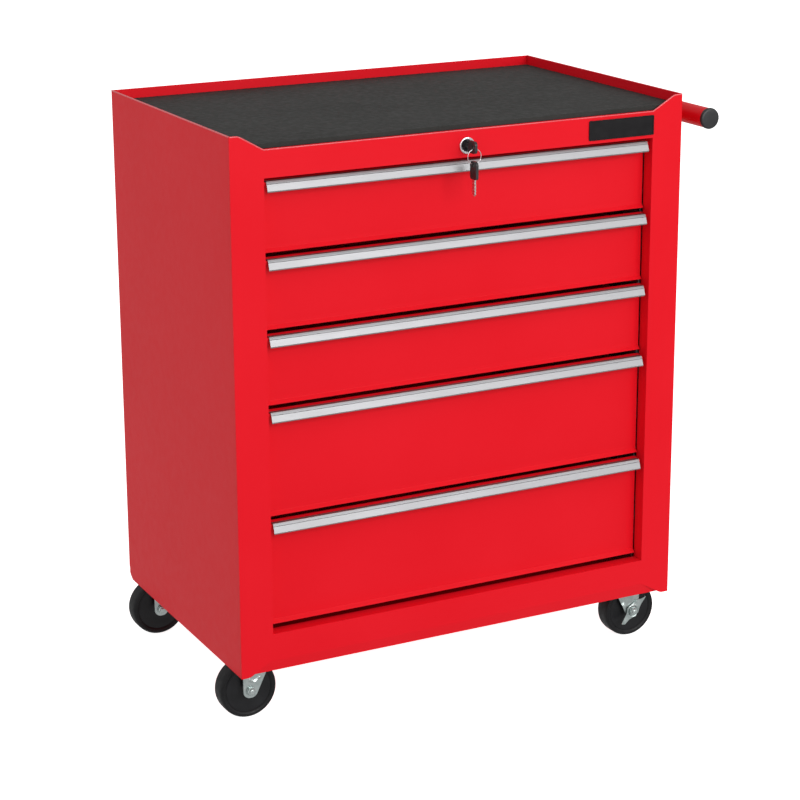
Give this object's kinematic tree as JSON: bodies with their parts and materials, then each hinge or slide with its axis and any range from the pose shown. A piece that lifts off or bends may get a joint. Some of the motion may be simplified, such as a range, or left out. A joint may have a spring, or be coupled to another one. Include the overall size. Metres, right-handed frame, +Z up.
{
  "type": "tool cart",
  "caption": "Rolling tool cabinet of red sheet metal with sliding drawers, a recessed matted top, a front key lock, a tube side handle and four casters.",
  "frame": {"origin": "on the floor under the middle of the whole cart's bounding box", "axes": "+Z up, -Y towards the drawer fronts, +X towards the side handle"},
  "size_m": [0.7268, 0.4278, 0.7745],
  "materials": {
    "red_paint": "glossy red powder coat",
    "mat_rubber": "matt dark grey liner",
    "pull_aluminium": "satin",
    "slide_steel": "zinc-plated sheet",
    "caster_zinc": "zinc-plated pressed steel",
    "wheel_rubber": "moulded black",
    "black_plastic": "moulded",
    "lock_chrome": "polished",
    "key_steel": "nickel-plated"
  },
  "bodies": {
    "cabinet": {"front_frame": "red_paint", "side_panel_left": "red_paint", "side_panel_right": "red_paint", "back_panel": "red_paint", "top_tray": "red_paint", "floor_pan": "red_paint", "top_mat": "mat_rubber", "slide_rack_left": "slide_steel", "slide_rack_right": "slide_steel", "side_handle": "red_paint", "handle_cap_front": "black_plastic", "handle_cap_rear": "black_plastic", "lock_barrel": "lock_chrome", "caster_front_left_bracket": "caster_zinc", "caster_front_left_axle": "caster_zinc", "caster_front_right_plate": "caster_zinc", "caster_rear_left_bracket": "caster_zinc", "caster_rear_left_axle": "caster_zinc", "caster_rear_right_plate": "caster_zinc"},
    "drawer_1": {"drawer_1_front": "red_paint", "drawer_1_tray": "red_paint", "drawer_1_pull": "pull_aluminium", "drawer_1_runner_left": "slide_steel", "drawer_1_runner_right": "slide_steel"},
    "drawer_2": {"drawer_2_front": "red_paint", "drawer_2_tray": "red_paint", "drawer_2_pull": "pull_aluminium", "drawer_2_runner_left": "slide_steel", "drawer_2_runner_right": "slide_steel"},
    "drawer_3": {"drawer_3_front": "red_paint", "drawer_3_tray": "red_paint", "drawer_3_pull": "pull_aluminium", "drawer_3_runner_left": "slide_steel", "drawer_3_runner_right": "slide_steel"},
    "drawer_4": {"drawer_4_front": "red_paint", "drawer_4_tray": "red_paint", "drawer_4_pull": "pull_aluminium", "drawer_4_runner_left": "slide_steel", "drawer_4_runner_right": "slide_steel"},
    "drawer_5": {"drawer_5_front": "red_paint", "drawer_5_tray": "red_paint", "drawer_5_pull": "pull_aluminium", "drawer_5_runner_left": "slide_steel", "drawer_5_runner_right": "slide_steel"},
    "lock_core": {"lock_plug": "lock_chrome", "lock_rod": "slide_steel"},
    "lock_bar": {"lock_bar": "slide_steel"},
    "key": {"key": "key_steel"},
    "key_ring": {"key_ring": "lock_chrome"},
    "spare_key": {"spare_key": "key_steel"},
    "caster_front_left_wheel": {"caster_front_left_wheel": "wheel_rubber"},
    "caster_front_right_fork": {"caster_front_right_fork": "caster_zinc", "caster_front_right_axle": "caster_zinc"},
    "caster_front_right_wheel": {"caster_front_right_wheel": "wheel_rubber"},
    "caster_front_right_brake": {"caster_front_right_brake": "caster_zinc"},
    "caster_rear_left_wheel": {"caster_rear_left_wheel": "wheel_rubber"},
    "caster_rear_right_fork": {"caster_rear_right_fork": "caster_zinc", "caster_rear_right_axle": "caster_zinc"},
    "caster_rear_right_wheel": {"caster_rear_right_wheel": "wheel_rubber"},
    "caster_rear_right_brake": {"caster_rear_right_brake": "caster_zinc"}
  },
  "joints": [
    {"name": "drawer_1_slide", "type": "slide", "parent": "cabinet", "child": "drawer_1", "axis": [0, -1, 0], "range_m": [0, 0.29]},
    {"name": "drawer_2_slide", "type": "slide", "parent": "cabinet", "child": "drawer_2", "axis": [0, -1, 0], "range_m": [0, 0.29]},
    {"name": "drawer_3_slide", "type": "slide", "parent": "cabinet", "child": "drawer_3", "axis": [0, -1, 0], "range_m": [0, 0.29]},
    {"name": "drawer_4_slide", "type": "slide", "parent": "cabinet", "child": "drawer_4", "axis": [0, -1, 0], "range_m": [0, 0.29]},
    {"name": "drawer_5_slide", "type": "slide", "parent": "cabinet", "child": "drawer_5", "axis": [0, -1, 0], "range_m": [0, 0.29]},
    {"name": "lock_turn", "type": "hinge", "parent": "cabinet", "child": "lock_core", "pos_m": [-0.02385, -0.1861, 0.735], "axis": [0, 1, 0], "range_deg": [0, 90]},
    {"name": "lock_lift", "type": "slide", "parent": "cabinet", "child": "lock_bar", "axis": [0, 0, 1], "range_m": [0, 0.01]},
    {"name": "key_pull", "type": "slide", "parent": "lock_core", "child": "key", "axis": [0, -1, 0], "range_m": [0, 0.025]},
    {"name": "ring_swing", "type": "hinge", "parent": "key", "child": "key_ring", "pos_m": [-0.02385, -0.2061, 0.7334], "axis": [1, 0, 0], "range_deg": [-60, 10]},
    {"name": "spare_swing", "type": "hinge", "parent": "key_ring", "child": "spare_key", "pos_m": [-0.02385, -0.2061, 0.7144], "axis": [1, 0, 0], "range_deg": [-60, 10]},
    {"name": "caster_front_left_roll", "type": "hinge", "parent": "cabinet", "child": "caster_front_left_wheel", "pos_m": [-0.32385, -0.1381, 0.0395], "axis": [0, 1, 0], "continuous": true},
    {"name": "caster_front_right_swivel", "type": "hinge", "parent": "cabinet", "child": "caster_front_right_fork", "pos_m": [0.24315, -0.1381, 0.1025], "axis": [0, 0, 1], "continuous": true},
    {"name": "caster_front_right_roll", "type": "hinge", "parent": "caster_front_right_fork", "child": "caster_front_right_wheel", "pos_m": [0.26315, -0.1381, 0.0395], "axis": [0, 1, 0], "continuous": true},
    {"name": "caster_front_right_brake_turn", "type": "hinge", "parent": "caster_front_right_fork", "child": "caster_front_right_brake", "pos_m": [0.26315, -0.1381, 0.0395], "axis": [0, 1, 0], "range_deg": [0, 40]},
    {"name": "caster_rear_left_roll", "type": "hinge", "parent": "cabinet", "child": "caster_rear_left_wheel", "pos_m": [-0.32385, 0.1749, 0.0395], "axis": [0, 1, 0], "continuous": true},
    {"name": "caster_rear_right_swivel", "type": "hinge", "parent": "cabinet", "child": "caster_rear_right_fork", "pos_m": [0.24315, 0.1749, 0.1025], "axis": [0, 0, 1], "continuous": true},
    {"name": "caster_rear_right_roll", "type": "hinge", "parent": "caster_rear_right_fork", "child": "caster_rear_right_wheel", "pos_m": [0.26315, 0.1749, 0.0395], "axis": [0, 1, 0], "continuous": true},
    {"name": "caster_rear_right_brake_turn", "type": "hinge", "parent": "caster_rear_right_fork", "child": "caster_rear_right_brake", "pos_m": [0.26315, 0.1749, 0.0395], "axis": [0, 1, 0], "range_deg": [0, 40]}
  ],
  "couplings": [
    {"joint": "lock_lift", "follows": "lock_turn", "m_per_rad": 0.0063662}
  ]
}
